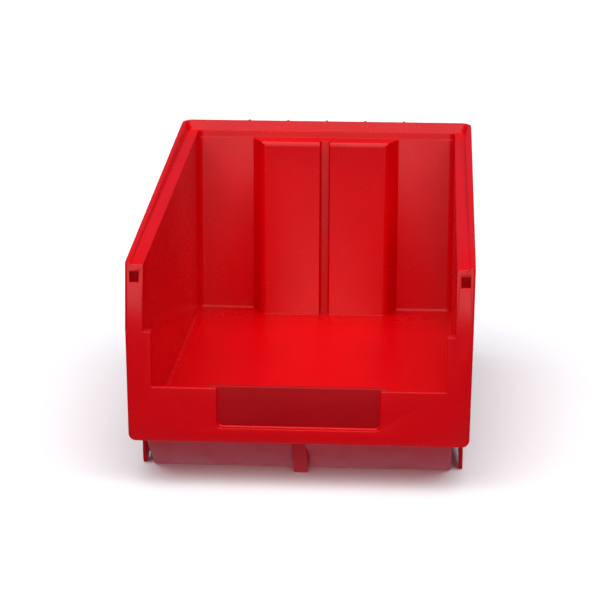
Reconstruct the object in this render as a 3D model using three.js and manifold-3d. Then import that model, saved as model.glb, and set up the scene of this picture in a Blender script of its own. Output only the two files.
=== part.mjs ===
// Hanging and stacking parts bin, one injection moulding in polypropylene, split into its
// natural regions. Millimetres, +Z up. X runs across the bin, +Y runs to the rear.
// Origin: middle of the bin's length and width, on the plane the bin stands on.
import * as THREE from 'three';
import { mergeVertices } from 'three/addons/utils/BufferGeometryUtils.js';
import Module from 'manifold-3d';

// ---- Driving dimensions -------------------------------------------------------------
const binLength = 234;        // front face to the rearmost rib
const rimWidth = 149.2;       // outside of the rim at the rear corners
const rimRearZ = 120.7;       // top of the rear rim
const rimFrontZ = 96;         // top of the side rim, carried forward to the front face
const wall = 2;               // general wall thickness
const gap = 0.3;              // clearance between neighbouring regions

const rimFlange = 8.4;        // how far the rim stands out beyond the inside of the walls
const earInset = 0.6;         // the ears are this much narrower than the rear rim, each side
const frontDraft = 1.1;       // the front face narrows by this much towards its foot, each side
const sillZ = 19.9;           // underside of the body, where the inset base begins
const floorThick = 1.9;
const lipZ = 43.8;            // top of the low front wall
const postTopZ = 68;          // top of the narrow posts beside the front opening
const postWidth = 3.4;        // how far the posts stand into the opening
const postBead = 3;           // depth of the bead behind each post
const postReturn = 14;        // depth of the front post's side return
const creaseZ = 70.3;         // where the front face bends back into the ear
const earTopZ = 88.6;         // top of the leaning ear face
const earLean = 4;            // how far the ear face leans back
const frontThick = 2.4;
const footCorner = 3.4;       // radius of the front face's lower corners

const ribProud = 1.6;         // the small rear ribs stand this far behind the rim
const rearFlange = 6;         // rear rim's outside to the inside of the rear wall
const rearCorner = 5.5;       // plan radius of the rim's rear corners
const blockDepth = 12;        // how far the hanger block stands into the bin
const blockHalf = 32.4;       // half the block's width at its face
const blockFlare = 5;         // widening of the block where it leaves the rear wall
const grooveHalf = 2.5;       // half the width of the groove down the block
const grooveDepth = 5;
const panelDrop = 8.1;        // top of the rear panels, below the rear rim
const rearLedgeDrop = 5.6;    // flat step of the rear ledge, below the rear rim
const lipThick = 1.8;         // thickness of the upstanding rim lip
const lipRise = 2;            // lip above the side ledge, at the front
const ledgeThick = 1.6;
const skirtDrop = 8;          // depth of the rim's outer skirt
const hangerDrop = 18.7;      // lower edge of the hanging lip, below the rear rim
const hangerHalf = 38;
const bearingPadHalf = 28;
const gussetPitch = 20;
const gussetThick = 1.2;

const labelHalf = 35;         // half the width of the label recess
const labelFootZ = 26.2;
const labelDepth = 2.2;       // the label field lies this far behind the front face
const labelFlange = 4.2;      // the recessed panel is wider than the recess in front of it

const baseInset = 0.3;        // the base's outside, in from the inside of the walls
const baseFrontV = 28;        // foot of the sloping front of the base
const baseSetback = 2.4;      // rear wall of the base, ahead of the hanger block
const baseFootZ = 0.6;        // the ribs and the keel stand a little lower than the base wall
const keelHalf = 3.15;
const keelFootV = 20.7;       // foot of the keel's nose
const longRibX = 46.5;
const ribThick = 1.6;
const crossRibV = [72, 120, 168];
const sideRibV = [15.4, 86, 156];  // the first closes the hollow ear from behind
const railThick = 1.8;
const railFrontV = 30;
const railFootZ = 1.3;
const slotMidZ = 10;          // where the long and the cross ribs of the base meet half and half

// ---- Sizes that follow from them ----------------------------------------------------
const insideHalf = rimWidth / 2 - rimFlange;
const rearHalf = rimWidth / 2;
const earX = rearHalf - earInset;
const footX = earX - frontDraft;
const postInner = insideHalf - postWidth;
const floorZ = sillZ + floorThick;
const ringRearV = binLength - ribProud;
const rearFaceV = ringRearV - rearFlange;
const blockFaceV = rearFaceV - blockDepth;
const blockRoot = blockHalf + blockFlare;
const panelTopZ = rimRearZ - panelDrop;
const rearLedgeZ = rimRearZ - rearLedgeDrop;
const baseHalf = insideHalf - baseInset;
const baseRearV = blockFaceV - baseSetback;
const wallOutX = insideHalf + wall + gap;
const railInner = wallOutX + 0.4;
const railOuter = railInner + railThick;
const rimBendV = ringRearV - 4.4;
const rimSlope = (rimRearZ - rimFrontZ) / rimBendV;

// ---- Helpers ------------------------------------------------------------------------
const wasm = await Module();
wasm.setup();
const bin = new THREE.Group();
bin.name = 'hanging_parts_bin';

const finishes = {
  gloss: { color: 0xc80a0a, roughness: 0.28, metalness: 0 },
  floor: { color: 0xd20c0a, roughness: 0.32, metalness: 0 },
  recess: { color: 0xb00a10, roughness: 0.45, metalness: 0 },
  under: { color: 0xb80c18, roughness: 0.5, metalness: 0 },
};

// Distance from the front face, turned into the shared frame.
const yOf = (v) => v - binLength / 2;

function toManifold(geometry) {
  const clean = geometry.clone();
  clean.deleteAttribute('normal');
  clean.deleteAttribute('uv');
  const merged = mergeVertices(clean, 1e-4);
  const vertProperties = new Float32Array(merged.attributes.position.array);
  const triVerts = new Uint32Array(merged.index.array);
  return new wasm.Manifold(new wasm.Mesh({ numProp: 3, vertProperties, triVerts }));
}

function toGeometry(solid) {
  const mesh = solid.getMesh();
  const geometry = new THREE.BufferGeometry();
  geometry.setAttribute('position', new THREE.BufferAttribute(mesh.vertProperties, 3));
  geometry.setIndex(new THREE.BufferAttribute(mesh.triVerts, 1));
  return geometry;
}

function prism(points, depth) {
  const shape = new THREE.Shape(points.map(([a, b]) => new THREE.Vector2(a, b)));
  return new THREE.ExtrudeGeometry(shape, { depth, bevelEnabled: false, curveSegments: 12 });
}

// Plan outline [x, v] raised from z0 to z1.
function prismZ(points, z0, z1) {
  const geometry = prism(points.map(([x, v]) => [x, yOf(v)]), z1 - z0);
  geometry.translate(0, 0, z0);
  return toManifold(geometry);
}

// Front-view outline [x, z] run from v0 to v1.
function prismY(points, v0, v1) {
  const geometry = prism(points, v1 - v0);
  geometry.rotateX(Math.PI / 2);
  geometry.translate(0, yOf(v1), 0);
  return toManifold(geometry);
}

// Side-view outline [v, z] run from x0 to x1.
function prismX(points, x0, x1) {
  const geometry = prism(points.map(([v, z]) => [yOf(v), z]), x1 - x0);
  geometry.rotateX(Math.PI / 2);
  geometry.rotateZ(Math.PI / 2);
  geometry.translate(x0, 0, 0);
  return toManifold(geometry);
}

function box(x0, x1, v0, v1, z0, z1) {
  return prismZ([[x0, v0], [x1, v0], [x1, v1], [x0, v1]], z0, z1);
}

// Points on an arc about (a, b), both ends included; angles in degrees.
function arc(a, b, radius, from, to, steps = 6) {
  const points = [];
  for (let i = 0; i <= steps; i += 1) {
    const angle = ((from + ((to - from) * i) / steps) * Math.PI) / 180;
    points.push([a + radius * Math.cos(angle), b + radius * Math.sin(angle)]);
  }
  return points;
}

function addPart(name, solid, finish) {
  const flat = toGeometry(solid).toNonIndexed();
  flat.computeVertexNormals();
  const mesh = new THREE.Mesh(flat, new THREE.MeshStandardMaterial(finishes[finish]));
  mesh.name = name;
  bin.add(mesh);
}

// A right-hand piece and its mirror image on the left.
function addPair(name, solid, finish) {
  addPart(`${name}_right`, solid, finish);
  addPart(`${name}_left`, solid.mirror([1, 0, 0]), finish);
}

const rimZ = (v) => rimFrontZ + rimSlope * Math.min(v, rimBendV);
// The side ledge rises less than the rim and meets the rear ledge at its level.
const ledgeFall = (rearLedgeDrop - lipRise) / (binLength - ribProud - rearFlange);
const ledgeZ = (v) => rimZ(v) - lipRise - ledgeFall * v;
const railZ = (v) => railFootZ + rimSlope * (v - railFrontV);

// ---- Floor and inset base -----------------------------------------------------------
const floorEdge = insideHalf - gap;
const floorRearV = blockFaceV - gap;
addPart('floor_plate', box(
  -floorEdge, floorEdge, frontThick + gap, floorRearV, sillZ, floorZ,
), 'floor');
// The floor carries on into a small bay on each side of the hanger block.
addPair('floor_bay', prismZ([
  [blockHalf + gap + 0.1, floorRearV + gap], [floorEdge, floorRearV + gap],
  [floorEdge, rearFaceV - gap], [blockRoot + 0.2, rearFaceV - gap],
], sillZ, floorZ), 'floor');

const baseTopZ = sillZ - gap;
const rampSlope = (baseFrontV - 1.4) / (baseTopZ - baseFootZ);
const rampBack = wall * Math.hypot(1, rampSlope);
const rampV = (z) => baseFrontV - (z - baseFootZ) * rampSlope;
const keelSlot = box(-keelHalf - gap, keelHalf + gap, 0, baseRearV + 10, 0, baseTopZ);
const rampFull = prismX([
  [rampV(baseTopZ), baseTopZ], [rampV(baseFootZ), baseFootZ],
  [rampV(baseFootZ) + rampBack, baseFootZ], [rampV(baseTopZ) + rampBack, baseTopZ],
], -baseHalf, baseHalf);
const rampSides = rampFull.subtract(keelSlot);
addPair('base_front_slope', rampSides.intersect(box(0, 80, 0, 60, 0, sillZ)), 'under');

const skirtFrontV = (z) => rampV(z) + rampBack + gap;
addPair('base_wall', prismX([
  [skirtFrontV(baseTopZ), baseTopZ], [skirtFrontV(baseFootZ), baseFootZ],
  [baseRearV, baseFootZ], [baseRearV, baseTopZ],
], baseHalf - wall, baseHalf), 'under');
addPart('base_rear_wall', box(
  wall + gap - baseHalf, baseHalf - wall - gap, baseRearV - wall, baseRearV, baseFootZ, baseTopZ,
), 'under');

// Long ribs, keel and cross ribs cross like an egg crate: the long ones are slotted from
// above, the cross ribs from below.
const slotHalf = ribThick / 2 + gap;
function slotFromAbove(solid, x0, x1) {
  return crossRibV.reduce((rest, v) => rest.subtract(
    box(x0 - 1, x1 + 1, v - slotHalf, v + slotHalf, slotMidZ, sillZ),
  ), solid);
}
const ribRearV = baseRearV - wall - gap;
const keelBody = prismX([
  [3.2, baseTopZ], [keelFootV, 0.8], [keelFootV + 1, 0], [ribRearV, 0], [ribRearV, baseTopZ],
], -keelHalf, keelHalf);
const keelRound = prismY([
  [-keelHalf, baseTopZ], ...arc(-keelHalf + 0.9, 0.9, 0.9, 180, 270, 4),
  ...arc(keelHalf - 0.9, 0.9, 0.9, 270, 360, 4), [keelHalf, baseTopZ],
], 0, baseRearV + 1);
addPart('centre_keel', slotFromAbove(keelBody.intersect(keelRound), -keelHalf, keelHalf), 'under');

const longRib = prismX([
  [skirtFrontV(baseTopZ), baseTopZ], [skirtFrontV(0), 0],
  [ribRearV, 0], [ribRearV, baseTopZ],
], longRibX - ribThick / 2, longRibX + ribThick / 2);
addPair('base_long_rib', slotFromAbove(longRib, longRibX - 1, longRibX + 1), 'under');

const crossHalf = baseHalf - wall - gap;
crossRibV.forEach((v, i) => {
  const slots = [-longRibX, longRibX].map((x) => box(
    x - slotHalf, x + slotHalf, v - 2, v + 2, 0, slotMidZ + gap,
  ));
  slots.push(box(-keelHalf - gap, keelHalf + gap, v - 2, v + 2, 0, slotMidZ + gap));
  const plate = box(
    -crossHalf, crossHalf, v - ribThick / 2, v + ribThick / 2, baseFootZ, baseTopZ,
  );
  addPart(`base_cross_rib_${i + 1}`, slots.reduce((rest, s) => rest.subtract(s), plate), 'under');
});

// ---- Front: low wall, label recess, posts and ears ----------------------------------
addPair('front_wall', box(
  labelHalf + gap, postInner - gap, 0, frontThick, sillZ, lipZ,
), 'gloss');
addPart('front_wall_foot', prismY([
  [-labelHalf, sillZ], [labelHalf, sillZ],
  ...arc(labelHalf - 2, labelFootZ + 2, 2, 0, -90).map(([x, z]) => [x, z]),
  ...arc(-labelHalf + 2, labelFootZ + 2, 2, 270, 180).map(([x, z]) => [x, z]),
], 0, frontThick), 'gloss');

const labelBackV = frontThick + gap;
const labelTopZ = lipZ + 0.6;
const labelPlate = prismX([
  [labelBackV, labelFootZ - 2], [labelBackV, labelTopZ],
  [labelBackV + wall, labelTopZ], [labelBackV + wall, labelFootZ],
], -labelHalf - labelFlange, labelHalf + labelFlange);
// The flat field that the label is stuck to fills the recess between the front walls.
const fieldHalf = labelHalf - gap;
const fieldFoot = labelFootZ + gap;
const labelField = prismY([
  [-fieldHalf + 2, fieldFoot], [fieldHalf - 2, fieldFoot], [fieldHalf, fieldFoot + 2],
  [fieldHalf, labelTopZ], [-fieldHalf, labelTopZ], [-fieldHalf, fieldFoot + 2],
], labelDepth, labelBackV + 0.5);
addPart('label_panel', labelPlate.add(labelField), 'recess');

addPair('front_post', prismY([
  [postInner, sillZ], ...arc(footX - footCorner, sillZ + footCorner, footCorner, 270, 360),
  [earX, creaseZ - gap], [insideHalf + 0.2, creaseZ - gap],
  [insideHalf + 0.2, postTopZ], [postInner, postTopZ],
], 0, frontThick), 'gloss');
addPair('front_post_bead', box(
  postInner, insideHalf - gap, frontThick + gap, frontThick + postBead, floorZ + gap, postTopZ,
), 'gloss');
const returnFoot = sillZ + footCorner;
// The post's side turns back along the bin and carries on up beside the leaning ear.
const returnTopZ = earTopZ - gap;
const returnFace = prismX([
  [frontThick + gap, returnFoot], [frontThick + gap, creaseZ - gap],
  [frontThick + 0.6, creaseZ], [earLean + frontThick + 0.6, returnTopZ],
  [postReturn, returnTopZ], [postReturn, returnFoot],
], insideHalf, rearHalf);
const returnEnd = prismY([
  [footX - wall, returnFoot], [footX, returnFoot], [earX, creaseZ],
  [earX, returnTopZ], [earX - wall, returnTopZ], [earX - wall, creaseZ],
], 0, postReturn + 1);
addPair('front_post_return', returnFace.intersect(returnEnd), 'gloss');
addPair('front_ear', prismX([
  [0, creaseZ], [wall + 0.3, creaseZ], [earLean + wall + 0.2, earTopZ], [earLean, earTopZ],
], insideHalf + 0.2, earX), 'gloss');

// ---- Side walls ---------------------------------------------------------------------
const wallTopZ = (v) => ledgeZ(v) - ledgeThick - gap;
const earBackV = earLean + wall + 0.5;
addPair('side_wall', prismX([
  [frontThick + gap, sillZ], [rearFaceV + wall, sillZ],
  [rearFaceV + wall, panelTopZ - gap], [rearFaceV - gap, panelTopZ - gap],
  [rearFaceV - gap, wallTopZ(rearFaceV - gap)], [earBackV, wallTopZ(earBackV)],
  [earBackV, earTopZ], [frontThick + gap, creaseZ - gap],
], insideHalf, insideHalf + wall), 'gloss');
addPair('side_sill', box(
  wallOutX, footX - 0.3, frontThick + gap, ringRearV - 4, sillZ, floorZ,
), 'gloss');
sideRibV.forEach((v, i) => {
  addPair(`side_rib_${i + 1}`, box(
    wallOutX, earX - lipThick - 0.4, v - ribThick / 2, v + ribThick / 2, floorZ + gap, wallTopZ(v - 1),
  ), 'gloss');
});

// ---- Rear wall with the hanger block ------------------------------------------------
addPair('rear_panel', box(
  blockRoot + gap, insideHalf - gap, rearFaceV, rearFaceV + wall, sillZ, panelTopZ - gap,
), 'gloss');
const blockTopZ = panelTopZ - 0.2;
const blockCapZ = blockTopZ - wall;
const hangerBearZ = blockCapZ - 0.5;
const webInner = blockHalf - 2.2;
addPair('rear_block_side', prismZ([
  [webInner, blockFaceV], [blockHalf, blockFaceV], [blockRoot, rearFaceV],
  [blockRoot, rearFaceV + wall], [blockRoot - 2.3, rearFaceV + wall],
  [webInner, blockFaceV + wall + 0.7],
], sillZ, blockCapZ - gap), 'gloss');
addPair('rear_block_panel', box(
  grooveHalf, webInner - gap, blockFaceV, blockFaceV + wall, sillZ, blockCapZ - gap,
), 'gloss');
const channelV = blockFaceV + wall + gap;
const channelBack = blockFaceV + grooveDepth + wall;
addPart('rear_groove_channel', prismZ([
  [-grooveHalf - wall, channelV], [-grooveHalf, channelV],
  [-grooveHalf, channelBack - wall], [grooveHalf, channelBack - wall],
  [grooveHalf, channelV], [grooveHalf + wall, channelV],
  [grooveHalf + wall, channelBack], [-grooveHalf - wall, channelBack],
], sillZ, blockCapZ - gap), 'gloss');
const capBackV = rearFaceV + wall;
const capPlate = prismZ([
  [-blockHalf, blockFaceV], [blockHalf, blockFaceV], [blockRoot, rearFaceV],
  [blockRoot, capBackV], [-blockRoot, capBackV], [-blockRoot, rearFaceV],
], blockCapZ, blockTopZ);
// The rail's edge bears on a shallow pad under the cap.
const bearingPad = box(-bearingPadHalf, bearingPadHalf, channelBack + 0.4, capBackV, hangerBearZ, blockCapZ + 0.5);
addPart('rear_block_cap', capPlate.add(bearingPad), 'gloss');

// ---- Rim: ledges, upstanding lip and skirt ------------------------------------------
// Plan outline of the rim, moved inwards by "inset".
function rimOutline(inset) {
  const radius = rearCorner - inset;
  const x = rearHalf - inset;
  const v = ringRearV - inset;
  return [
    [-earX + inset, -1], [earX - inset, -1],
    ...arc(x - radius, v - radius, radius, 0, 90, 8),
    ...arc(-x + radius, v - radius, radius, 90, 180, 8),
  ];
}
const farX = rearHalf + 10;
const topZ = rimRearZ + 10;
const ring = prismZ(rimOutline(0), creaseZ, topZ)
  .subtract(prismZ(rimOutline(lipThick), creaseZ - 1, topZ + 1));
const sideSplitV = rearFaceV - 0.8;
const lipWedge = prismX([
  [earLean + 0.1, earTopZ + gap], [16, earTopZ + gap], [sideSplitV, rimZ(sideSplitV) - skirtDrop],
  [sideSplitV, rimZ(sideSplitV)], [earLean + 1.5, rimZ(earLean + 1.5)],
], 0, farX);
addPair('side_rim_lip', ring.intersect(lipWedge), 'gloss');
const skirtFootZ = rimZ(sideSplitV) - skirtDrop;
const hangerFootZ = rimRearZ - hangerDrop;
const rearLip = ring.intersect(prismX([
  [sideSplitV + gap, skirtFootZ], [binLength, skirtFootZ], [binLength, rimRearZ],
  [rimBendV, rimRearZ], [sideSplitV + gap, rimZ(sideSplitV + gap)],
], -farX, farX));
addPart('rear_rim_lip', rearLip, 'gloss');
addPart('hanging_lip', prismY([
  ...arc(-hangerHalf + 4, hangerFootZ + 4, 4, 180, 270),
  ...arc(hangerHalf - 4, hangerFootZ + 4, 4, 270, 360),
  [hangerHalf, skirtFootZ - gap], [-hangerHalf, skirtFootZ - gap],
], ringRearV - lipThick, ringRearV), 'gloss');

const ledgePlan = prismZ(rimOutline(lipThick + gap), creaseZ, topZ);
const ledgeFrontV = earLean + 2.5;
const sideLedge = prismX([
  [ledgeFrontV, ledgeZ(ledgeFrontV) - ledgeThick], [sideSplitV, ledgeZ(sideSplitV) - ledgeThick],
  [sideSplitV, ledgeZ(sideSplitV)], [ledgeFrontV, ledgeZ(ledgeFrontV)],
], insideHalf, farX);
addPair('side_ledge', ledgePlan.intersect(sideLedge), 'gloss');
// The rear ledge slopes up to the lip, so that the rear rim reads as a tilted band.
const bandTopV = ringRearV - lipThick - gap;
const rearBand = prismX([
  [rearFaceV, panelTopZ], [bandTopV, panelTopZ], [bandTopV, rimRearZ - 0.8],
  [rearFaceV + 2.4, rearLedgeZ], [rearFaceV, rearLedgeZ],
], -farX, farX);
addPart('rear_rim_band', ledgePlan.intersect(rearBand), 'gloss');

// Small ribs behind the rear lip; their tips stand just above the rim.
for (let i = 0; i < 5; i += 1) {
  const x = (i - 2) * gussetPitch;
  addPart(`rear_lip_rib_${i + 1}`, prismX([
    [ringRearV + gap, hangerFootZ + 6], [binLength, hangerFootZ + 9],
    [binLength, rimRearZ - 0.6], [ringRearV + gap, rimRearZ + 0.3],
  ], x - gussetThick / 2, x + gussetThick / 2), 'gloss');
}

// ---- Stacking rails, each with a nib --------------------------------------------------------
const railTopZ = sillZ - gap;
const railEndV = Math.min(railFrontV + (railTopZ - railFootZ) / rimSlope, ringRearV) - 4;
const railWeb = prismX([
  [railFrontV - 1.5, railTopZ], [railFrontV, railZ(railFrontV)],
  [railEndV, railZ(railEndV)], [railEndV, railTopZ],
], railInner, railOuter);
// The nib is a little thinner than the rail and stands on the ground with the keel.
const railNib = prismX([
  [railFrontV, 3], [railFrontV, 0], [railFrontV + 5, 0], [railFrontV + 8, 3],
], railInner + 0.2, railOuter - 0.2);
addPair('stacking_rail', railWeb.add(railNib), 'under');

export default bin;
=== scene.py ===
import math

import bpy
from mathutils import Matrix, Vector


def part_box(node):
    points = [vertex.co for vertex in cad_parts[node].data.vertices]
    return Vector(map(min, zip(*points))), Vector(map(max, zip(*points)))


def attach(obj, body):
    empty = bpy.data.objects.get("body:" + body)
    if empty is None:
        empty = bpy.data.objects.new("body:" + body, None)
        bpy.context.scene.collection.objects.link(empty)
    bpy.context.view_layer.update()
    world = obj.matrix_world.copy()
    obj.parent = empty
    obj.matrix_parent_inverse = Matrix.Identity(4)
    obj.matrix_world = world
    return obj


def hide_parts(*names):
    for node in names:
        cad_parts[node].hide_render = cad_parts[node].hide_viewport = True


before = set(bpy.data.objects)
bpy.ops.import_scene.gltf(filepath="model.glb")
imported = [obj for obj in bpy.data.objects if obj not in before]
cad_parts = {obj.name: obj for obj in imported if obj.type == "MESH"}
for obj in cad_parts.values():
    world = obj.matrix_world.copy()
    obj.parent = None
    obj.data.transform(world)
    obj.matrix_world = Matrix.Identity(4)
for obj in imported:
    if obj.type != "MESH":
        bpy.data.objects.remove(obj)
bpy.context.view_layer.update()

mm = 0.001


# small tools

def low(node):
    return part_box(node)[0]


def high(node):
    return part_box(node)[1]


def near(a, b, slack=0.05):
    return abs(a - b) < slack * mm


def bothNear(a, b, level):
    return near(a, level) and near(b, level)


def letGo():
    if bpy.context.object and bpy.context.object.mode != "OBJECT":
        bpy.ops.object.mode_set(mode="OBJECT")
    bpy.ops.object.select_all(action="DESELECT")


def takeUp(obj):
    # everything else is let go, and this object becomes the active one
    letGo()
    obj.select_set(True)
    bpy.context.view_layer.objects.active = obj


def editAll(obj):
    # leaves obj in edit mode, selected all over
    takeUp(obj)
    bpy.ops.object.mode_set(mode="EDIT")
    bpy.ops.mesh.select_all(action="SELECT")


def startBlock(name, lowCorner, highCorner):
    # a cube at its size and place, with its place kept in the mesh; a block that cuts
    # runs some millimetres past what it cuts
    letGo()
    a, b = Vector(lowCorner), Vector(highCorner)
    bpy.ops.mesh.primitive_cube_add(size=1, location=(a + b) / 2, scale=b - a)
    obj = bpy.context.object
    obj.name = name
    bpy.ops.object.transform_apply(location=True, rotation=True, scale=True)
    return obj


def pick(obj, kind, test):
    # leaves obj in edit mode with only what passes the test selected
    takeUp(obj)
    bpy.ops.object.mode_set(mode="EDIT")
    bpy.ops.mesh.select_mode(type=kind)
    bpy.ops.mesh.select_all(action="DESELECT")
    bpy.ops.object.mode_set(mode="OBJECT")
    mesh = obj.data
    if kind == "VERT":
        for v in mesh.vertices:
            v.select = bool(test(v.co))
    if kind == "EDGE":
        for e in mesh.edges:
            a, b = (mesh.vertices[i].co for i in e.vertices)
            e.select = bool(test(a, b))
    if kind == "FACE":
        for p in mesh.polygons:
            p.select = bool(test(p.center, p.normal))
    bpy.ops.object.mode_set(mode="EDIT")


def shift(x=0, y=0, z=0):
    bpy.ops.transform.translate(value=(x, y, z))
    bpy.ops.object.mode_set(mode="OBJECT")


def widen(x=1, y=1, z=1, about=(0, 0, 0)):
    bpy.ops.transform.resize(value=(x, y, z), center_override=about)
    bpy.ops.object.mode_set(mode="OBJECT")


def roundOff(radius, segments=4):
    bpy.ops.mesh.bevel(offset=radius, segments=segments, affect="EDGES", clamp_overlap=True)
    bpy.ops.object.mode_set(mode="OBJECT")


def sliceOff(obj, point, outward):
    # cuts away what lies on the outward side of a plane and closes the cut
    editAll(obj)
    bpy.ops.mesh.bisect(plane_co=point, plane_no=outward, use_fill=True, clear_outer=True)
    bpy.ops.object.mode_set(mode="OBJECT")


def isClosed(obj):
    # every edge of a closed mesh has exactly two faces
    faces = {}
    for polygon in obj.data.polygons:
        for edge in polygon.edge_keys:
            faces[edge] = faces.get(edge, 0) + 1
    return all(count == 2 for count in faces.values())


def foldedArea(obj):
    # square millimetres of triangles that face away from the face they belong to
    mesh = obj.data
    mesh.calc_loop_triangles()
    folded = 0
    for triangle in mesh.loop_triangles:
        a, b, c = (mesh.vertices[i].co for i in triangle.vertices)
        across = (b - a).cross(c - a)
        if across.dot(mesh.polygons[triangle.polygon_index].normal) < 0:
            folded += across.length / 2
    return folded / (mm * mm)


def combine(target, tool, how):
    # Blender skips a boolean on an open mesh with only a warning, so it is an error here
    for obj in (target, tool):
        if not isClosed(obj):
            raise RuntimeError("open mesh before a boolean: " + obj.name)
    takeUp(target)
    step = target.modifiers.new("combine", "BOOLEAN")
    step.operation = how
    step.solver = "MANIFOLD"
    step.object = tool
    bpy.ops.object.modifier_apply(modifier=step.name)
    bpy.data.objects.remove(tool)
    return target


def carve(target, *tools):
    for tool in tools:
        combine(target, tool, "DIFFERENCE")


def addOn(target, *tools):
    for tool in tools:
        combine(target, tool, "UNION")


def mirrorCopy(obj, name):
    # a left-hand copy with its own mesh, turned the right way out again
    takeUp(obj)
    bpy.ops.object.duplicate()
    copy = bpy.context.object
    copy.name = name
    editAll(copy)
    bpy.ops.transform.resize(value=(-1, 1, 1), center_override=(0, 0, 0))
    bpy.ops.mesh.normals_make_consistent(inside=False)
    bpy.ops.object.mode_set(mode="OBJECT")
    return copy


def cleanUp(obj):
    editAll(obj)
    bpy.ops.mesh.remove_doubles(threshold=0.1 * mm)
    bpy.ops.mesh.dissolve_limited(angle_limit=math.radians(0.25))
    bpy.ops.object.mode_set(mode="OBJECT")


def divide(obj, stops):
    # cuts along the middle and at the stops; they take nothing away, and keep
    # long bent faces from being filled wrongly
    cuts = [((0, 0, 0), (1, 0, 0))] + [((0, at(v), 0), (0, 1, 0)) for v in stops]
    for point, across in cuts:
        editAll(obj)
        bpy.ops.mesh.bisect(plane_co=point, plane_no=across)
        bpy.ops.object.mode_set(mode="OBJECT")


def soften(obj, radius, segments=3, sharpest=28):
    takeUp(obj)
    step = obj.modifiers.new("soften", "BEVEL")
    step.width = radius
    step.segments = segments
    step.limit_method = "ANGLE"
    step.angle_limit = math.radians(sharpest)
    step.use_clamp_overlap = False
    step.miter_outer = "MITER_SHARP"
    bpy.ops.object.modifier_apply(modifier=step.name)


def smooth(obj, angle=30):
    takeUp(obj)
    bpy.ops.object.shade_smooth_by_angle(angle=math.radians(angle))


# levels and faces taken from the frame

frontY = low("front_wall_left").y
insideX = low("side_wall_right").x
wallX = high("side_wall_right").x
sillZ = low("floor_plate").z
floorZ = high("floor_plate").z
frontLipZ = high("front_wall_left").z
rearFaceY = low("rear_panel_right").y
rearBackY = high("rear_panel_right").y
blockFaceY = low("rear_block_panel_right").y
blockTopZ = high("rear_block_cap").z
panelTopZ = low("rear_rim_band").z
rimRearY = high("hanging_lip").y
rimX = high("rear_rim_lip").x
rimTopZ = high("rear_rim_lip").z
creaseZ = low("front_ear_right").z
earTopZ = high("front_ear_right").z
earX = high("front_ear_right").x

rimFrontZ = 96.2 * mm  # the rim's top line, carried on to the front face
rimSlope = (rimTopZ - rimFrontZ) / (rimRearY - frontY)


def at(v):
    return frontY + v * mm  # v is a distance from the front face, in millimetres


def rimAt(y):
    return rimFrontZ + rimSlope * (y - frontY)


def slopeTop(obj, drop):
    # planes the top of obj to the rim's slope, drop millimetres under the rim
    sliceOff(obj, (0, frontY, rimFrontZ - drop * mm), (0, -rimSlope, 1))


# the moulded shell

shellSizes = {
    "rearCorner": 5.5,      # all in millimetres
    "footDraft": 1.1,
    "footCorner": 3.4,
    "footEase": 0.3,        # the rounding of the foot opens by this much upwards
    "edgeRound": 1.1,
    "earThick": 2.2,
    "insideFillet": 3.2,
    "floorFillet": 1.3,
    "postFillet": 1.2,
    "frontThick": 2.4,
    "postInner": 62.8,
    "postTop": 68,
    "postDepth": 5.4,
    "coreRound": 4.6,       # the outer face of the walls, at the rear corners
    "pocketOuter": 72,
    "pocketDepth": 8.5,
    "panelStep": 1.3,
    "lipThick": 1.8,
    "lipSlope": 1.75,
    "ledgeDrop": 2,
    "ledgeUnder": 3.6,
    "skirtDrop": 8,
    "rearLedge": 5.6,
    "blockHalf": 32.4,
    "blockRoot": 37.4,
    "blockRound": 2.2,
    "grooveHalf": 2.5,
    "grooveDepth": 5,
    "grooveRound": 0.9,
    "recessHalf": 30.2,
    "recessRoot": 37,
    "recessRound": 1.2,
    "wall": 2,
    "labelHalf": 35,
    "labelFoot": 26.2,
    "labelRound": 2.6,
    "labelFillet": 1.3,
    "ribRooted": 0.8,       # how far an upright rib stands in the wall
    "ribProud": 0.2,
    "ribDrop": 7,
    "hangerHalf": 38,
    "hangerFoot": 102,
    "hangerDrop": 6,
    "hangerRound": 4,
    "softEdge": 0.25,
    "divideAt": (40, 120, 200),  # clear of the ribs
}
earLean = high("front_ear_right").y - frontY - shellSizes["earThick"] * mm
topOut = rimTopZ + 20 * mm


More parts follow.
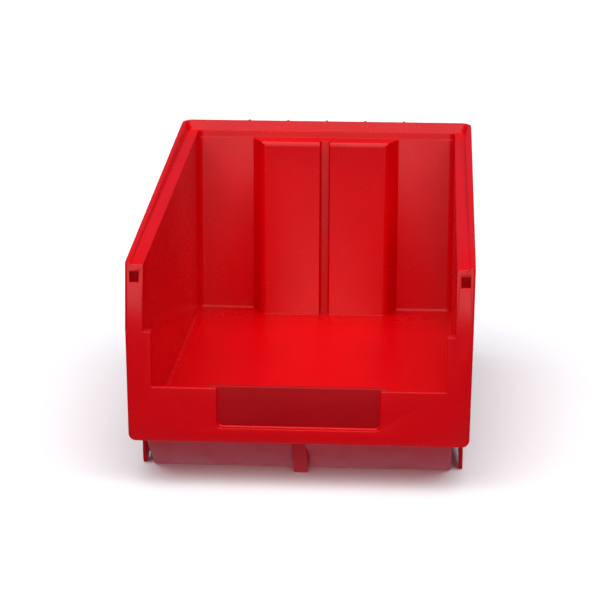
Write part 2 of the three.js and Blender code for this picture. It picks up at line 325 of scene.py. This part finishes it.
def makeOutside(s):
    shell = startBlock("binShell", (-rimX, frontY, sillZ), (rimX, rimRearY, rimTopZ))
    draft = s["footDraft"] * mm
    topFrontX = earX + draft * (rimTopZ - earTopZ) / (earTopZ - sillZ)
    pick(shell, "VERT", lambda c: near(c.y, frontY) and c.z > sillZ + mm)
    widen(x=topFrontX / rimX)
    pick(shell, "VERT", lambda c: near(c.z, sillZ))
    widen(x=(earX - draft) / rimX)
    pick(shell, "EDGE", lambda a, b: bothNear(a.y, b.y, rimRearY) and abs(a.z - b.z) > 0.05)
    roundOff(s["rearCorner"] * mm, 7)
    slopeTop(shell, 0)
    # above the crease the front leans back
    sliceOff(shell, (0, frontY, creaseZ), (0, -(earTopZ - creaseZ), earLean))
    pick(shell, "EDGE", lambda a, b: abs(a.x) > 69 * mm and abs(b.x) > 69 * mm and near(a.y, b.y, 8)
         and a.y < at(7) and b.y < at(7) and abs(a.z - b.z) > 0.1 * mm and a.x * b.x > 0)
    roundOff(s["edgeRound"] * mm, 4)
    footX = earX - draft + 0.05 * mm
    # the cutter along the foot is hollowed by what is kept, so that it rounds the corners
    corner = startBlock("corner", (-rimX - 5 * mm, at(-5), sillZ - 5 * mm),
                        (rimX + 5 * mm, at(240), sillZ + 5 * mm))
    kept = startBlock("kept", (-footX, at(-9), sillZ - 6 * mm), (footX, at(250), sillZ + 20 * mm))
    pick(kept, "VERT", lambda c: c.z > sillZ)
    widen(x=(footX + s["footEase"] * mm) / footX)
    sliceOff(kept, (0, 0, sillZ), (0, 0, -1))
    pick(kept, "EDGE", lambda a, b: bothNear(a.z, b.z, sillZ) and near(a.x, b.x)
         and abs(a.y - b.y) > 0.05)
    roundOff(s["footCorner"] * mm, 7)
    below = startBlock("below", (-50 * mm, at(-8), sillZ - 7 * mm),
                       (50 * mm, at(245), sillZ + 2 * mm))
    carve(corner, kept, below)
    carve(shell, corner)
    return shell


def makeInside(s):
    # what is hollow inside, as one solid
    inside = startBlock("inside", (-insideX, at(s["postDepth"]), floorZ),
                        (insideX, rearFaceY, topOut))
    pick(inside, "EDGE", lambda a, b: bothNear(a.y, b.y, rearFaceY) and abs(a.z - b.z) > 0.05)
    roundOff(s["insideFillet"] * mm, 6)
    pick(inside, "EDGE", lambda a, b: bothNear(a.z, b.z, floorZ))
    roundOff(s["floorFillet"] * mm, 4)
    postInner = s["postInner"] * mm
    between = startBlock("between", (-postInner, at(s["frontThick"]), floorZ),
                         (postInner, at(14), topOut))
    pick(between, "EDGE", lambda a, b: bothNear(a.z, b.z, floorZ) and min(a.y, b.y) < at(5))
    roundOff(s["postFillet"] * mm, 4)
    mouth = startBlock("mouth", (-postInner, at(-5), frontLipZ), (postInner, at(4), topOut))
    overPosts = startBlock("overPosts", (-insideX, at(-5), s["postTop"] * mm),
                           (insideX, at(10), topOut))
    # over the panels the rear face steps back a little
    above = startBlock("above", (-insideX, at(150), panelTopZ),
                       (insideX, rearFaceY + s["panelStep"] * mm, topOut))
    pick(above, "EDGE", lambda a, b: a.y > rearFaceY and b.y > rearFaceY and abs(a.z - b.z) > 0.005)
    roundOff(s["insideFillet"] * mm, 6)
    addOn(inside, between, mouth, overPosts, above)

    # the block that the bin hangs by stands into the hollow
    hanger = startBlock("hanger", (-s["blockHalf"] * mm, blockFaceY, sillZ - 5 * mm),
                        (s["blockHalf"] * mm, rearFaceY, panelTopZ))
    pick(hanger, "VERT", lambda c: near(c.y, rearFaceY))
    widen(x=s["blockRoot"] / s["blockHalf"])
    pick(hanger, "EDGE", lambda a, b: bothNear(a.y, b.y, blockFaceY)
         and (abs(a.z - b.z) > 0.05 or a.z > floorZ))
    roundOff(s["blockRound"] * mm, 5)
    pick(hanger, "FACE", lambda c, n: n.y > 0.9)
    bpy.ops.mesh.extrude_region_move(TRANSFORM_OT_translate={"value": (0, 6 * mm, 0)})
    bpy.ops.object.mode_set(mode="OBJECT")
    groove = startBlock("groove", (-s["grooveHalf"] * mm, at(200), sillZ - 8 * mm),
                        (s["grooveHalf"] * mm, blockFaceY + s["grooveDepth"] * mm, topOut))
    pick(groove, "EDGE", lambda a, b: min(a.y, b.y) > blockFaceY and abs(a.z - b.z) > 0.05)
    roundOff(s["grooveRound"] * mm, 3)
    carve(hanger, groove)
    carve(inside, hanger)
    return inside


def ledgeFall(s):
    # how steeply the ledges fall away from the rim towards the rear
    return (s["rearLedge"] * mm - s["ledgeDrop"] * mm) / (rearFaceY - frontY)


def makeTray(s):
    # the hollow above the ledges: a lower plan at the ledges, an upper one past the top of
    # the lip, joined by the sloping inner face of the lip; the block is 1 m tall at first,
    # so that its two ends are easy to tell apart
    lip = s["lipThick"] * mm
    slope = s["lipSlope"] * mm
    depth = s["rearLedge"] * mm
    fall = ledgeFall(s)
    tray = startBlock("tray", (-rimX + lip, at(-20), 0), (rimX - lip, rimRearY - lip, 1))
    pick(tray, "VERT", lambda c: c.y < at(0))
    widen(x=(earX - lip) / (rimX - lip))
    pick(tray, "EDGE", lambda a, b: min(a.y, b.y) > at(200) and near(a.x, b.x)
         and abs(a.z - b.z) > 0.5)
    roundOff((s["rearCorner"] - s["lipThick"]) * mm, 6)
    pick(tray, "VERT", lambda c: c.z < 0.5)
    shift(z=rimFrontZ - s["ledgeDrop"] * mm)
    pick(tray, "VERT", lambda c: c.z > 0.5)
    shift(z=topOut - 1)
    pick(tray, "VERT", lambda c: c.y < at(0) and c.z < topOut - mm)
    shift(z=-(rimSlope - fall) * 20 * mm)  # the tray starts 20 mm in front of the bin
    pick(tray, "VERT", lambda c: c.y > at(200) and c.z < topOut - mm)
    shift(z=rimTopZ - depth - (rimFrontZ - s["ledgeDrop"] * mm))
    # the walls of the tray close in from the lip's top to the ledge
    rise = topOut - (rimTopZ - depth)
    pick(tray, "VERT", lambda c: c.y > at(200) and c.z > topOut - mm)
    widen(x=1 + slope / depth * (rise - depth) / (rimX - lip), y=1, about=(0, at(200), 0))
    pick(tray, "VERT", lambda c: c.y > at(200) and c.z > topOut - mm)
    shift(y=slope / depth * (rise - depth))
    pick(tray, "VERT", lambda c: c.y > at(200) and c.z < topOut - mm)
    widen(x=1 - slope / (rimX - lip), about=(0, at(200), 0))
    pick(tray, "VERT", lambda c: c.y > at(200) and c.z < topOut - mm)
    shift(y=-slope)
    pick(tray, "VERT", lambda c: c.y < at(0) and c.z < topOut - mm)
    widen(x=1 - 0.5 * mm / (earX - lip))
    # one plane for all the ledges, set by their level near the rear
    sliceOff(tray, (0, at(218), rimTopZ - depth + 0.05 * mm), (0, rimSlope - fall, -1))
    return tray


def underLedge(obj, s):
    # planes the top of obj to the underside of the side ledges
    sliceOff(obj, (0, frontY, rimFrontZ - s["ledgeUnder"] * mm), (0, ledgeFall(s) - rimSlope, 1))


def carveOutside(shell, s):
    def makeCore():
        # the outer face of the walls, as a core that the cutters leave standing
        made = startBlock("core", (-wallX, at(-40), -0.02), (wallX, rearBackY, topOut + 0.02))
        pick(made, "EDGE", lambda a, b: bothNear(a.y, b.y, rearBackY) and abs(a.z - b.z) > 0.05)
        roundOff(s["coreRound"] * mm, 6)
        return made

    # what stands between this cutter and the pockets closes each ear from behind
    start = high("side_rib_1_right").y
    around = startBlock("around", (-rimX - 0.02, start, floorZ),
                        (rimX + 0.02, rimRearY + 0.02, topOut))
    slopeTop(around, s["skirtDrop"])
    skirtIn = rimX - (s["lipThick"] + 0.3) * mm
    hollow = startBlock("hollow", (-skirtIn, start + 1.5 * mm, floorZ), (skirtIn, at(222), topOut))
    underLedge(hollow, s)
    addOn(around, hollow)
    carve(around, makeCore())
    carve(shell, around)
    foot = startBlock("foot", (-rimX - 0.02, rearBackY, 0),
                      (rimX + 0.02, rimRearY + 0.02, floorZ + 3 * mm))
    carve(shell, foot)

    # the pocket behind each ear, open above the ear's top
    inner, outer = wallX, s["pocketOuter"] * mm
    pocket = startBlock("pocket", (inner, at(-5), floorZ), (outer, at(s["pocketDepth"]), topOut))
    underLedge(pocket, s)
    front = startBlock("front", (inner - 1 * mm, at(-8), 0),
                       (outer + 1 * mm, at(s["frontThick"]), creaseZ))
    ear = startBlock("ear", (inner - 1 * mm, at(-8), creaseZ - 1 * mm),
                     (outer + 1 * mm, at(12), earTopZ))
    sliceOff(ear, (0, at(s["frontThick"]), creaseZ), (0, (earTopZ - creaseZ), -earLean))
    carve(pocket, front, ear)
    carve(shell, mirrorCopy(pocket, "pocketLeft"), pocket)


def carveRecess(shell, s):
    # the recess behind the hanger block, open to the rear and below
    wall = s["wall"] * mm
    half = s["recessHalf"] * mm
    recess = startBlock("recess", (-half, blockFaceY + wall, sillZ - 5 * mm),
                        (half, rearBackY + 5 * mm, blockTopZ - wall))
    pick(recess, "VERT", lambda c: c.y > rearBackY)
    widen(x=s["recessRoot"] / s["recessHalf"])
    pick(recess, "EDGE", lambda a, b: bothNear(a.y, b.y, blockFaceY + wall)
         and (abs(a.z - b.z) > 0.05 or a.z > floorZ))
    roundOff(s["recessRound"] * mm, 3)
    # the back of the groove stands into the recess
    side = s["grooveHalf"] * mm + wall
    deep = s["grooveDepth"] * mm + wall
    channel = startBlock("channel", (-side, blockFaceY - wall, sillZ - 9 * mm),
                         (side, blockFaceY + deep, topOut))
    pick(channel, "EDGE", lambda a, b: min(a.y, b.y) > blockFaceY and abs(a.z - b.z) > 0.05)
    roundOff(s["recessRound"] * mm, 3)
    carve(recess, channel)
    carve(shell, recess)


def addRibs(shell, s):
    for node in ("side_rib_2", "side_rib_3"):
        for side in ("_right", "_left"):
            a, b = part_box(node + side)
            rooted, proud = s["ribRooted"] * mm, s["ribProud"] * mm
            left, right = (rooted, proud) if side == "_right" else (proud, rooted)
            rib = startBlock("rib", (a.x - left, a.y, floorZ - 0.5 * mm),
                             (b.x + right, b.y, topOut))
            sliceOff(rib, (0, a.y, rimAt(a.y) - s["ribDrop"] * mm), (0, -rimSlope, 1))
            addOn(shell, rib)
    # the lip that the bin hangs by
    half, foot = s["hangerHalf"] * mm, s["hangerFoot"] * mm
    hook = startBlock("hook", (-half, rimRearY - s["lipThick"] * mm, foot),
                      (half, rimRearY, rimTopZ - s["hangerDrop"] * mm))
    pick(hook, "EDGE", lambda a, b: bothNear(a.z, b.z, foot) and abs(a.y - b.y) > 0.001)
    roundOff(s["hangerRound"] * mm, 6)
    addOn(shell, hook)


def makeWindow(s):
    # the opening in the front wall that the label panel closes from behind
    half, foot = s["labelHalf"] * mm, s["labelFoot"] * mm
    back = at(s["frontThick"] + 0.05)  # just behind the inner face of the wall
    window = startBlock("window", (-half, at(-5), foot), (half, back, frontLipZ + 10 * mm))
    pick(window, "EDGE", lambda a, b: bothNear(a.z, b.z, foot) and abs(a.y - b.y) > 0.002)
    roundOff(s["labelRound"] * mm, 5)
    pick(window, "EDGE", lambda a, b: bothNear(a.y, b.y, back) and min(a.z, b.z) < frontLipZ)
    roundOff(s["labelFillet"] * mm, 4)
    return window


def makeShell(s):
    shell = makeOutside(s)
    print("shell: outside")
    carve(shell, makeInside(s))
    print("shell: hollow and hanger block")
    carve(shell, makeTray(s))
    carveOutside(shell, s)
    carveRecess(shell, s)
    carve(shell, makeWindow(s))
    addRibs(shell, s)
    cleanUp(shell)
    divide(shell, s["divideAt"])
    print("shell: rim, outside, recess, window and ribs")
    return shell


shell = makeShell(shellSizes)
soften(shell, shellSizes["softEdge"] * mm)
print("shell: softened,", len(shell.data.polygons), "faces")

# the floor is cut out of the same moulding along its flat, so that no joint shows
floorSizes = {"sideEdge": 62, "frontV": 9.4, "rearV": 205, "corner": 8, "skin": 0.6}


def makeFloorCutter(name, s):
    # the skin below the panel stays with the shell
    side = s["sideEdge"] * mm
    cutter = startBlock(name, (-side, at(s["frontV"]), sillZ + s["skin"] * mm),
                        (side, at(s["rearV"]), floorZ + 3 * mm))
    pick(cutter, "EDGE", lambda a, b: abs(a.z - b.z) > 0.1 * mm)
    roundOff(s["corner"] * mm, 6)
    return cutter


takeUp(shell)
bpy.ops.object.duplicate()
floorPanel = bpy.context.object
floorPanel.name = "binFloor"
combine(floorPanel, makeFloorCutter("keep", floorSizes), "INTERSECT")
carve(shell, makeFloorCutter("drop", floorSizes))
print("floor panel cut out of the shell")

# the label panel behind the window

labelSizes = {"front": 2.25, "corner": 1.6, "chamfer": 2, "softEdge": 0.5}


def makeLabelPanel(s):
    a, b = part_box("label_panel")
    plate = startBlock("labelPanel", (a.x, at(s["front"]), a.z), b)
    pick(plate, "EDGE", lambda p, q: abs(p.y - q.y) > 0.001)
    roundOff(s["corner"] * mm, 4)
    sliceOff(plate, (0, b.y, a.z + s["chamfer"] * mm), (0, 2, -2))
    soften(plate, s["softEdge"] * mm)
    return plate


labelPanel = makeLabelPanel(labelSizes)
print("label panel")

# small ribs behind the rear lip

lipRibSizes = {"rooted": 0.4, "topFall": 0.7, "topSlope": 0.75, "softEdge": 0.22}


def makeLipRib(index, s):
    a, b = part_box("rear_lip_rib_%d" % index)
    rib = startBlock("lipRib%d" % index, (a.x, rimRearY - s["rooted"] * mm, a.z), b)
    sliceOff(rib, (0, b.y, b.z - s["topFall"] * mm), (0, s["topSlope"], 1))
    sliceOff(rib, (0, rimRearY, a.z), (0, 3, -1.6))  # the underside climbs towards the rear
    soften(rib, s["softEdge"] * mm, 2)
    return rib


lipRibs = [makeLipRib(i, lipRibSizes) for i in range(1, 6)]
print("ribs behind the rear lip")

# the base under the floor

baseSizes = {
    "wall": 2,
    "footV": 28,       # where the sloping front meets the foot
    "edgeRound": 1.6,
    "rooted": 0.3,     # how far the base stands in the shell
    "ribBehind": 1.6,  # the ribs start this far behind the face of the sloping front
    "softEdge": 0.3,
    "ribEdge": 0.25,
    "divideAt": (50, 96, 144, 190),
}
baseHalf = high("base_wall_right").x
baseFootZ = low("base_front_slope_right").z
baseRearY = high("base_rear_wall").y
slopeLow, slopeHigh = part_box("base_front_slope_right")
slopeRise = slopeHigh.z - slopeLow.z
slopeRun = at(baseSizes["footV"]) - slopeLow.y
baseTopZ = sillZ + baseSizes["rooted"] * mm


def makeBaseTray(s):
    # one open tray: sloping front, two sides and the rear
    wall = s["wall"] * mm
    outward = (0, -slopeRise, -slopeRun)
    thick = wall * math.hypot(1, slopeRun / slopeRise)  # the wall, measured level
    tray = startBlock("baseTray", (-baseHalf, slopeLow.y, baseFootZ),
                      (baseHalf, baseRearY, baseTopZ))
    sliceOff(tray, (0, at(s["footV"]), baseFootZ), outward)
    pick(tray, "EDGE", lambda a, b: near(abs(a.x), baseHalf) and near(a.x, b.x)
         and abs(a.z - b.z) > 0.004 and a.y < at(60) and b.y < at(60))
    roundOff(s["edgeRound"] * mm, 5)
    hollow = startBlock("hollow", (-baseHalf + wall, slopeLow.y, -0.01),
                        (baseHalf - wall, baseRearY - wall, sillZ + 4 * mm))
    sliceOff(hollow, (0, at(s["footV"]) + thick, baseFootZ), outward)
    # a slot for the keel, which overlaps its sides a little
    a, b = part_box("centre_keel")
    slot = startBlock("slot", (a.x + 0.2 * mm, at(-5), -0.01),
                      (b.x - 0.2 * mm, at(60), sillZ + 4 * mm))
    carve(tray, hollow, slot)
    cleanUp(tray)
    divide(tray, s["divideAt"])
    soften(tray, s["softEdge"] * mm)
    return tray


def makeBaseRibs(s):
    # the long and the cross ribs as one web, which stands 1 mm in the side and rear walls
    a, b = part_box("base_long_rib_right")
    web = startBlock("baseRibs", (a.x, a.y, a.z), (b.x, baseRearY - 1 * mm, baseTopZ))
    run = slopeRun / slopeRise
    behind = s["ribBehind"] * mm * math.hypot(1, run)
    sliceOff(web, (0, at(s["footV"]) + behind, baseFootZ), (0, -1, -run))
    addOn(web, mirrorCopy(web, "web"))
    for i in (1, 2, 3):
        c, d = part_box("base_cross_rib_%d" % i)
        addOn(web, startBlock("cross", (-baseHalf + 1 * mm, c.y, c.z),
                              (baseHalf - 1 * mm, d.y, baseTopZ)))
    cleanUp(web)
    divide(web, s["divideAt"])
    soften(web, s["ribEdge"] * mm, 2)
    return web


keelSizes = {"toeV": 20.7, "toeZ": 0.8, "toeSlope": 1.25, "frontFootZ": 1.1, "frontRun": 17.5,
             "rooted": 0.5, "edgeRound": 0.9, "softEdge": 0.3}


def makeKeel(s):
    a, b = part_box("centre_keel")
    keel = startBlock("centreKeel", (a.x, a.y, a.z), (b.x, b.y + s["rooted"] * mm, baseTopZ))
    # the front of the keel climbs from its toe to the sill, and the toe is bevelled
    toe = (0, at(s["toeV"]), s["toeZ"] * mm)
    sliceOff(keel, toe, (0, -(sillZ - s["frontFootZ"] * mm), -s["frontRun"] * mm))
    sliceOff(keel, toe, (0, -1, -s["toeSlope"]))
    pick(keel, "EDGE", lambda p, q: near(abs(p.x), b.x) and near(p.x, q.x) and p.z < sillZ
         and q.z < sillZ + 1 * mm and not (near(p.z, q.z) and p.z > sillZ))
    roundOff(s["edgeRound"] * mm, 4)
    cleanUp(keel)
    soften(keel, s["softEdge"] * mm, 2)
    return keel


railSizes = {"footV": 30, "footZ": 1.3, "nibFrom": 31, "nibBend": 35, "nibTo": 38, "nibTop": 4,
             "rooted": 0.4, "softEdge": 0.35}


def makeStackingRail(s):
    # a web along the outside of the base; its foot climbs to the rear and carries a nib in front
    a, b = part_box("stacking_rail_right")
    foot = (0, at(s["footV"]), s["footZ"] * mm)
    rail = startBlock("stackingRailRight", (a.x, a.y, s["footZ"] * mm),
                      (b.x, b.y, sillZ + s["rooted"] * mm))
    sliceOff(rail, foot, (0, rimSlope, -1))
    sliceOff(rail, foot, (0, -1, -0.1))
    nib = startBlock("nib", (a.x, at(s["nibFrom"]), 0), (b.x, at(s["nibTo"]), s["nibTop"] * mm))
    sliceOff(nib, (0, at(s["nibBend"]), 0), (0, 1, -1))
    addOn(rail, nib)
    cleanUp(rail)
    soften(rail, s["softEdge"] * mm, 3)
    return rail


baseTray = makeBaseTray(baseSizes)
baseRibs = makeBaseRibs(baseSizes)
centreKeel = makeKeel(keelSizes)
railRight = makeStackingRail(railSizes)
railLeft = mirrorCopy(railRight, "stackingRailLeft")
print("base, keel and stacking rails")

# materials


def fromHex(code):
    # sRGB hex to linear colour
    parts = [int(code[i:i + 2], 16) / 255 for i in (1, 3, 5)]
    return [c / 12.92 if c <= 0.04045 else ((c + 0.055) / 1.055) ** 2.4 for c in parts] + [1]


def addNode(tree, kind, settings, links=()):
    # links are (own input, other node, its output); stops are the (place, colour) pairs
    # of a colour ramp
    node = tree.nodes.new(kind)
    for key, value in settings.items():
        if key == "stops":
            for element, (place, colour) in zip(node.color_ramp.elements, value):
                element.position = place
                element.color = colour
        elif key in node.inputs:
            node.inputs[key].default_value = value
        else:
            setattr(node, key, value)
    for own, other, output in links:
        tree.links.new(other.outputs[output], node.inputs[own])
    return node


def grey(value):
    return (value, value, value, 1)


# real sizes of the patterns in the plastic, in millimetres
patternSizes = {"clouds": 45, "specks": 1.1, "marks": 12, "shrinkage": 20,
                "grainHeight": 0.006, "waveHeight": 0.12}


def perMetre(pattern):
    return 1 / (patternSizes[pattern] * mm)


def mouldedPolypropylene(name, look):
    # polypropylene, injection moulded: saturated pigment all through, a soft wax-like gloss
    material = bpy.data.materials.new(name)
    material.use_nodes = True
    tree = material.node_tree
    shader = tree.nodes["Principled BSDF"]
    shader.inputs["IOR"].default_value = 1.49
    shader.inputs["Specular IOR Level"].default_value = look["specular"]
    shader.inputs["Metallic"].default_value = 0
    place = addNode(tree, "ShaderNodeTexCoord", {})
    # melt flow leaves broad, very faint clouds in the pigment, drawn out along the bin
    stretch = addNode(tree, "ShaderNodeMapping", {"Scale": (1, 0.45, 1)},
                      [("Vector", place, "Object")])
    clouds = addNode(tree, "ShaderNodeTexNoise",
                     {"Scale": perMetre("clouds"), "Detail": 3, "Roughness": 0.55},
                     [("Vector", stretch, "Vector")])
    tint = addNode(tree, "ShaderNodeValToRGB",
                   {"stops": [(0.3, fromHex(look["deep"])), (0.7, fromHex(look["bright"]))]},
                   [("Fac", clouds, "Fac")])
    # specks of undispersed pigment, far apart: only the peaks of the pattern show
    specks = addNode(tree, "ShaderNodeTexNoise", {"Scale": perMetre("specks"), "Detail": 1},
                     [("Vector", place, "Object")])
    speckMask = addNode(tree, "ShaderNodeValToRGB",
                        {"stops": [(0.8, grey(0)), (0.9, grey(look["specks"]))]},
                        [("Fac", specks, "Fac")])
    # the colour sockets of a Mix node are its inputs 6 and 7 and its output 2
    colour = addNode(tree, "ShaderNodeMix", {"data_type": "RGBA"})
    tree.links.new(speckMask.outputs["Color"], colour.inputs[0])
    tree.links.new(tint.outputs["Color"], colour.inputs[6])
    colour.inputs[7].default_value = fromHex(look["speck"])
    tree.links.new(colour.outputs[2], shader.inputs["Base Color"])
    # gloss: handling marks over the polish of the tool
    marks = addNode(tree, "ShaderNodeTexNoise",
                    {"Scale": perMetre("marks"), "Detail": 4, "Roughness": 0.6},
                    [("Vector", stretch, "Vector")])
    gloss = addNode(tree, "ShaderNodeMapRange",
                    {"From Min": 0.3, "From Max": 0.7,
                     "To Min": look["roughLow"], "To Max": look["roughHigh"]},
                    [("Value", marks, "Fac")])
    tree.links.new(gloss.outputs["Result"], shader.inputs["Roughness"])
    # tool texture: fine grain, and a slow wave from shrinkage
    grain = addNode(tree, "ShaderNodeTexNoise",
                    {"Scale": 1 / (look["grain"] * mm), "Detail": 2, "Roughness": 0.6},
                    [("Vector", place, "Object")])
    fine = addNode(tree, "ShaderNodeBump",
                   {"Strength": look["grainDepth"], "Distance": patternSizes["grainHeight"] * mm},
                   [("Height", grain, "Fac")])
    sink = addNode(tree, "ShaderNodeTexNoise", {"Scale": perMetre("shrinkage"), "Detail": 1},
                   [("Vector", place, "Object")])
    wave = addNode(tree, "ShaderNodeBump",
                   {"Strength": look["wave"], "Distance": patternSizes["waveHeight"] * mm},
                   [("Height", sink, "Fac"), ("Normal", fine, "Normal")])
    tree.links.new(wave.outputs["Normal"], shader.inputs["Normal"])
    return material


# what each finish of the moulding shows in gloss and texture; grain is in millimetres. The pigment
# is one red all through: the floor's slightly brighter reds are painted light, and the darker reds
# and specks of the label panel and the underside are painted shade
shellLook = {"deep": "#C8000A", "bright": "#D40008", "speck": "#A00010", "specks": 0.05,
             "specular": 0.24, "roughLow": 0.25, "roughHigh": 0.28, "grain": 0.6,
             "grainDepth": 0.12, "wave": 0.04}
# the floor's reds are a little brighter than the shell's: painted light, standing for the light
# that falls on the floor from above; the plastic is the same
floorLookPaintedLight = {"deep": "#CC0008", "bright": "#D80006", "speck": "#A40010", "specks": 0.05,
             "specular": 0.2, "roughLow": 0.3, "roughHigh": 0.33, "grain": 0.6,
             "grainDepth": 0.12, "wave": 0.04}
# the label panel's reds and specks are much darker than the shell's: painted shade, in the recess;
# its rougher spark texture is real
labelLookPaintedShade = {"deep": "#A00008", "bright": "#AA000A", "speck": "#90000E", "specks": 0.05,
             "specular": 0.15, "roughLow": 0.42, "roughHigh": 0.52, "grain": 0.5,
             "grainDepth": 0.6, "wave": 0.05}
# the underside's reds and specks are darker than the shell's: painted shade, under the bin; the
# plastic is the same
underLookPaintedShade = {"deep": "#B8000C", "bright": "#C40010", "speck": "#900014", "specks": 0.05,
             "specular": 0.1, "roughLow": 0.3, "roughHigh": 0.42, "grain": 0.7,
             "grainDepth": 0.4, "wave": 0.1}

finishesWithPaintedLightAndShade = {
    "gloss_shell": mouldedPolypropylene("redPolypropyleneMouldedGloss", shellLook),
    "inside_floor": mouldedPolypropylene("redPolypropyleneCoreSidePaintedLight", floorLookPaintedLight),
    "label_recess": mouldedPolypropylene("redPolypropyleneSparkTexturePaintedShade", labelLookPaintedShade),
    "underside": mouldedPolypropylene("redPolypropyleneUndersidePaintedShade", underLookPaintedShade),
}

names = set(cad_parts)


def startingWith(*starts):
    return sorted(n for n in names if n.startswith(starts))


pieces = [
    (floorPanel, "inside_floor", ["floor_plate"]),
    (labelPanel, "label_recess", ["label_panel"]),
    (baseTray, "underside", startingWith("base_front_slope", "base_wall", "base_rear_wall")),
    (baseRibs, "underside", startingWith("base_long_rib", "base_cross_rib")),
    (centreKeel, "underside", ["centre_keel"]),
    (railRight, "underside", ["stacking_rail_right"]),
    (railLeft, "underside", ["stacking_rail_left"]),
] + [(rib, "gloss_shell", ["rear_lip_rib_%d" % (i + 1)]) for i, rib in enumerate(lipRibs)]
used = {n for piece in pieces for n in piece[2]}
pieces.append((shell, "gloss_shell", sorted(names - used)))

mostFolded = 5  # square millimetres that a piece may have in faces folded over themselves

for obj, slotName, nodes in pieces:
    if not isClosed(obj):
        raise RuntimeError("open mesh: " + obj.name)
    folded = foldedArea(obj)
    print(obj.name, "closed, folded area", round(folded, 2), "mm2")
    if folded > mostFolded:
        raise RuntimeError("folded faces: " + obj.name)
    smooth(obj)
    obj.data.materials.clear()
    obj.data.materials.append(finishesWithPaintedLightAndShade[slotName])
    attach(obj, "root")
    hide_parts(*nodes)
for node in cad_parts.values():
    for held in node.material_slots:
        held.material = finishesWithPaintedLightAndShade["gloss_shell"]
print("pieces:", len(pieces))

# floor, light and camera

studio = {"floorSize": 14, "around": "#5A586A", "below": "#D2C6DE", "belowFrom": 0.15,
          "belowTo": 0.32}


def makeStudio(s):
    half = s["floorSize"] / 2
    studioFloor = startBlock("studioFloor", (-half, -half, -0.02), (half, half, 0))
    paper = bpy.data.materials.new("matteWhitePaper")
    paper.use_nodes = True
    tree = paper.node_tree
    shader = tree.nodes["Principled BSDF"]
    shader.inputs["Roughness"].default_value = 0.8
    shader.inputs["Specular IOR Level"].default_value = 0.1
    place = addNode(tree, "ShaderNodeTexCoord", {})
    fibre = addNode(tree, "ShaderNodeTexNoise", {"Scale": 900, "Detail": 2},
                    [("Vector", place, "Object")])
    tint = addNode(tree, "ShaderNodeValToRGB",
                   {"stops": [(0.3, fromHex("#F2F2F2")), (0.7, fromHex("#F6F6F6"))]},
                   [("Fac", fibre, "Fac")])
    tree.links.new(tint.outputs["Color"], shader.inputs["Base Color"])
    studioFloor.data.materials.append(paper)
    # the paper isn't mirrored in the gloss and bounces no light; the room's light from
    # below stands for it
    studioFloor.visible_glossy = False
    studioFloor.visible_diffuse = False
    world = bpy.data.worlds.new("studio")
    bpy.context.scene.world = world
    world.use_nodes = True
    tree = world.node_tree
    way = addNode(tree, "ShaderNodeTexCoord", {})
    axes = addNode(tree, "ShaderNodeSeparateXYZ", {}, [("Vector", way, "Generated")])
    height = addNode(tree, "ShaderNodeMapRange", {"From Min": -1, "From Max": 1},
                     [("Value", axes, "Z")])
    room = addNode(tree, "ShaderNodeValToRGB",
                   {"stops": [(s["belowFrom"], fromHex(s["below"])),
                              (s["belowTo"], fromHex(s["around"]))]},
                   [("Fac", height, "Result")])
    tree.links.new(room.outputs["Color"], tree.nodes["Background"].inputs["Color"])


def aimed(name, kind, place, aim):
    data = bpy.data.lights.new(name, kind)
    lamp = bpy.data.objects.new(name, data)
    bpy.context.scene.collection.objects.link(lamp)
    lamp.location = place
    lamp.rotation_euler = (Vector(aim) - Vector(place)).to_track_quat("-Z", "Y").to_euler()
    return data


lights = {"ceiling": 3.7, "ceilingSpread": 90, "ceilingLean": 0.28, "front": 28,
          "frontWide": 3.2, "frontHigh": 1.0, "frontPlace": (0.1, -3.2, 0.95)}


def lightUp(s):
    # a broad soft ceiling, and a soft panel far in front
    ceiling = aimed("softCeiling", "SUN", (0, -s["ceilingLean"] * 2, 2), (0, 0, 0))
    ceiling.energy = s["ceiling"]
    ceiling.angle = math.radians(s["ceilingSpread"])
    panel = aimed("frontPanel", "AREA", s["frontPlace"], (0, 0, 0.1))
    panel.shape = "RECTANGLE"
    panel.size, panel.size_y = s["frontWide"], s["frontHigh"]
    panel.energy = s["front"]


makeStudio(studio)
lightUp(lights)

cameraPlace = {"x": 0.05523, "y": -1.01231, "z": 0.30831, "pitch": 14.08, "yaw": 3.49,
               "roll": -0.22, "lens": 132.15, "sensor": 36}


def placeCamera(c):
    data = bpy.data.cameras.new("camera")
    camera = bpy.data.objects.new("camera", data)
    bpy.context.scene.collection.objects.link(camera)
    camera.location = (c["x"], c["y"], c["z"])
    turn = (Matrix.Rotation(math.radians(c["yaw"]), 3, "Z")
            @ Matrix.Rotation(math.radians(90 - c["pitch"]), 3, "X")
            @ Matrix.Rotation(math.radians(-c["roll"]), 3, "Z"))
    camera.rotation_euler = turn.to_euler()
    data.lens = c["lens"]
    data.sensor_width = c["sensor"]
    data.clip_start = 0.01
    bpy.context.scene.camera = camera


placeCamera(cameraPlace)
bpy.context.scene.view_settings.view_transform = "Standard"
